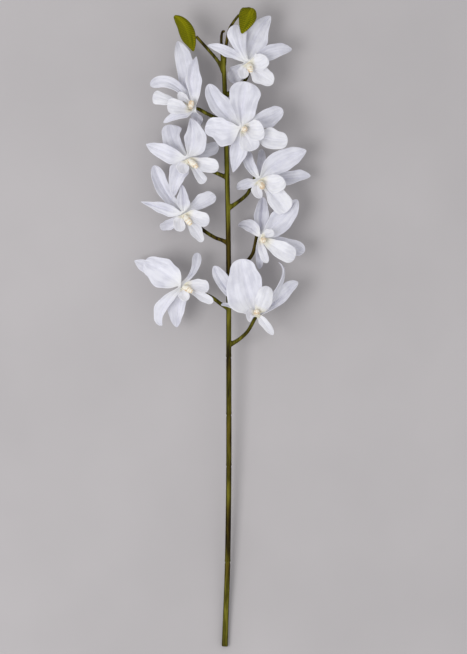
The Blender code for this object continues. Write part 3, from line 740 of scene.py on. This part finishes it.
def makeColumn(name, flower):
    hub = Vector(flower["hub"])
    axis = Vector(flower["axis"]).normalized()
    start = hub + axis * columnShape["base"]
    end = hub + Vector(flower["column"])
    bend = hub + axis * columnShape["bend"]
    stations = []
    radii = columnShape["radii"]
    for step, radius in enumerate(radii):
        t = step / (len(radii) - 1)
        place = start * (1 - t) ** 2 + bend * 2 * t * (1 - t) + end * t * t
        stations.append((place.x, place.y, place.z, radius))
    bm = bmesh.new()
    tube(bm, stations, columnShape["sides"])
    item = newObject(name + "_column_detail", bm, materials["column"])
    subdivide(item, 2)
    stand(item, name + "_column")


for name, flower in flowers.items():
    step = finish["ringStep"]
    makeWhorl(name + "_sepals", flower, "sepals", 0, finish["along"], finish["petalThick"], "petal")
    makeWhorl(name + "_petals", flower, "petals", step, finish["along"], finish["petalThick"], "petal")
    makeWhorl(name + "_lip", flower, "lip", 2 * step, finish["lipAlong"], finish["lipThick"], "lip")
    makeColumn(name, flower)
print("flowers made")


# Buds: centre line in millimetres with the radius at each point.
budShape = {"steps": 4, "sides": 36, "ribs": 0.09}
buds = {
    "bud_left": [
        (-33.5, 324, 41, 1.0), (-35.5, 332, 41, 5.4), (-38.7, 340, 41, 8.6), (-41.5, 348, 41, 9.2),
        (-45.5, 355.5, 41, 7.8), (-51, 361.5, 41, 5.4), (-56, 365.5, 41, 1.6),
    ],
    "bud_right": [
        (23.2, 344, 53, 1.0), (25.8, 351.6, 53, 6.0), (28.9, 360, 53, 9.8), (31, 367, 53, 10.6),
        (33.2, 371.3, 53, 8.2), (34.2, 374.4, 53, 3.0),
    ],
}


def makeBud(name):
    bm = bmesh.new()
    tube(bm, smoothLine(buds[name], budShape["steps"]), budShape["sides"], budShape["ribs"])
    item = newObject(name + "_detail", bm, materials["bud"])
    subdivide(item, 1)
    stand(item, name)


for name in buds:
    makeBud(name)
print("buds made")


# Stem centre line: along the spray, sideways, height, radius, in millimetres.
stemLine = [
    (-375, 3.2, 3.7, 3.7),
    (-340, 4.4, 6.0, 3.4),
    (-272, 6.6, 12.0, 3.3),
    (-163, 8.0, 20.0, 3.2),
    (-26, 7.9, 28.0, 3.1),
    (91, 7.6, 33.0, 3.0),
    (208, 5.3, 36.0, 2.9),
    (277, 3.3, 37.5, 2.8),
    (316, 1.6, 38.5, 2.6),
]
# Rings that mark the stem: where they are along it, and the groove with its raised lip.
notches = [-276, -163, -102.5, -35]
notchShape = {"depth": 0.45, "width": 0.9, "lip": 0.18, "lipAt": 2.4, "lipWidth": 1.6, "reach": 6}
stemShape = {"steps": 30, "sides": 24, "voxel": 0.55, "relax": 4}
stalkShape = {
    "steps": 10,
    "sides": 16,
    "flare": 1.0,  # how much thicker a stalk is where it leaves the stem
    "flareSteps": 6,
    "socket": 7,  # from the hub back to where the stalk turns straight behind the flower
    "behindHub": 1.8,
    "intoBud": 2.2,
}

# Thin stalks that grew from the stem: points in millimetres and the radius at the start and end.
stalks = {
    "left_bud": ([(2, 300, 37), (-5, 313, 36.5), (-16, 326, 37), (-28.8, 340, 40)], 2.1, 1.8),
    "right_bud": ([(2, 308, 37), (4.5, 328, 38), (8, 348, 40), (13.5, 358, 45), (18.6, 364.5, 51)], 2.0, 1.6),
    "tip": ([(1.6, 310, 37.5), (-0.5, 330, 37), (-0.6, 342, 38), (1, 347.5, 38), (3.5, 347, 38)], 2.0, 1.3),
    "flower1": ([(4, 272, 37.5), (14, 279, 33), (26, 289, 29), (31, 302, 29)], 2.3, 2.1),
    "flower2": ([(5, 240, 37), (-9, 247, 37), (-19, 252, 37)], 2.3, 2.1),
    "flower3": ([(6, 216, 36), (12, 221, 43), (17, 228, 49)], 2.3, 2.1),
    "flower4": ([(7, 176, 34.5), (-5, 181, 34), (-24, 190, 33)], 2.3, 2.1),
    "flower5": ([(7, 140, 34), (19, 148, 33.5), (31, 159, 33)], 2.3, 2.1),
    "flower6": ([(8, 99, 33), (0, 103, 33), (-10, 107, 33), (-26, 118, 33)], 2.3, 2.1),
    "flower7": ([(8, 57, 31), (20, 68, 31), (31, 80, 31), (37, 90, 33)], 2.3, 2.1),
    "flower8": ([(8, 23, 30), (-1, 28, 30), (-12, 36, 31), (-28, 43, 33)], 2.3, 2.1),
    "flower9": ([(8, -20, 28), (19, -14, 31), (30, -4, 35)], 2.3, 2.1),
}


def stemStations():
    line = smoothLine(stemLine, stemShape["steps"])
    return [(side, along, height, radius) for along, side, height, radius in line]


def stalkStations(name):
    points, start, end = stalks[name]
    if name in flowers:
        hub = Vector(flowers[name]["hub"])
        axis = Vector(flowers[name]["axis"]).normalized()
        turn = hub - axis * stalkShape["socket"]
        reach = hub - axis * stalkShape["behindHub"]
        points = points + [tuple(turn), tuple(reach)]
    last = len(points) - 1
    knots = [tuple(point) + (mix(start, end, index / last),) for index, point in enumerate(points)]
    stations = []
    for index, (x, y, z, radius) in enumerate(smoothLine(knots, stalkShape["steps"])):
        flare = stalkShape["flare"] * math.exp(-(index / stalkShape["flareSteps"]) ** 2)
        stations.append((x, y, z, radius + flare))
    if name.endswith("_bud"):
        last = Vector(stations[-1][:3])
        onward = last + (last - Vector(stations[-3][:3])).normalized() * stalkShape["intoBud"]
        stations.append((onward.x, onward.y, onward.z, end))
    return stations


def ringDepth(gap):
    if abs(gap) >= notchShape["reach"]:
        return 0
    groove = notchShape["depth"] * math.exp(-(gap / notchShape["width"]) ** 2)
    return groove - notchShape["lip"] * math.exp(-((gap - notchShape["lipAt"]) / notchShape["lipWidth"]) ** 2)


def joinTubes(item):
    remesh = item.modifiers.new("joined", "REMESH")
    remesh.mode = "VOXEL"
    remesh.voxel_size = stemShape["voxel"] * mm
    remesh.use_smooth_shade = True
    relax = item.modifiers.new("relaxed", "SMOOTH")
    relax.factor = 0.5
    relax.iterations = stemShape["relax"]
    graph = bpy.context.evaluated_depsgraph_get()
    mesh = bpy.data.meshes.new_from_object(item.evaluated_get(graph))
    item.modifiers.clear()
    return mesh


def makeStem():
    bm = bmesh.new()
    tube(bm, stemStations(), stemShape["sides"])
    for name in stalks:
        tube(bm, stalkStations(name), stalkShape["sides"])
    item = newObject("stem_detail", bm, materials["stem"])
    mesh = joinTubes(item)
    for vert in mesh.vertices:
        for notch in notches:
            depth = ringDepth(vert.co.y / mm - notch)
            if depth:
                vert.co -= vert.normal * depth * mm
    # How far each point faces up or down; the stem material paints shade on the flanks from it.
    upward = mesh.attributes.new("upward", "FLOAT", "POINT")
    upward.data.foreach_set("value", [abs(vert.normal.z) for vert in mesh.vertices])
    item.data = mesh
    stand(item, "stem")


makeStem()
print("stem made")


# Floor, light and camera

studio = {
    "floorColour": (0.45, 0.43, 0.44),
    "floorSize": 6000,
    "world": 0.66,
    "aim": (0, 0.1, 0),
    "lights": {
        "key": {"place": (-1.3, -0.3, 2.4), "size": 1.5, "power": 34},
        "fill": {"place": (1.9, -0.3, 2.0), "size": 2.0, "power": 5},
    },
}


def makeFloor():
    bm = bmesh.new()
    bmesh.ops.create_grid(bm, x_segments=1, y_segments=1, size=studio["floorSize"])
    material, nodes, links, shader = startMaterial("floor")
    cloud = cloudy(nodes, links, objectPlace(nodes), 5.0, 3.0)
    darker = tuple(value * 0.97 for value in studio["floorColour"])
    lighter = tuple(value * 1.03 for value in studio["floorColour"])
    tone = ramp(nodes, links, cloud, [(0.35, darker), (0.65, lighter)])
    links.new(tone, shader.inputs["Base Color"])
    shader.inputs["Roughness"].default_value = 0.9
    newObject("floor", bm, material, False)


def makeLights():
    world = bpy.data.worlds.new("studio")
    bpy.context.scene.world = world
    world.use_nodes = True
    world.node_tree.nodes["Background"].inputs[0].default_value = (1, 1, 1, 1)
    world.node_tree.nodes["Background"].inputs[1].default_value = studio["world"]
    for name, values in studio["lights"].items():
        light = bpy.data.lights.new(name, "AREA")
        light.shape = "DISK"
        light.size = values["size"]
        light.energy = values["power"]
        lamp = bpy.data.objects.new(name, light)
        bpy.context.scene.collection.objects.link(lamp)
        place = Vector(values["place"])
        lamp.location = place
        lamp.rotation_euler = (Vector(studio["aim"]) - place).to_track_quat("-Z", "Y").to_euler()


# The camera looks straight down on the spray.
view = {"lens": 282, "sensor": 36, "place": (0.0135, 0.0012, 6.04)}


def makeCamera():
    data = bpy.data.cameras.new("camera")
    data.lens = view["lens"]
    data.sensor_width = view["sensor"]
    data.dof.use_dof = False
    camera = bpy.data.objects.new("camera", data)
    bpy.context.scene.collection.objects.link(camera)
    camera.location = view["place"]
    bpy.context.scene.camera = camera


makeFloor()
makeLights()
makeCamera()
bpy.context.scene.view_settings.view_transform = "Standard"
print("studio made")
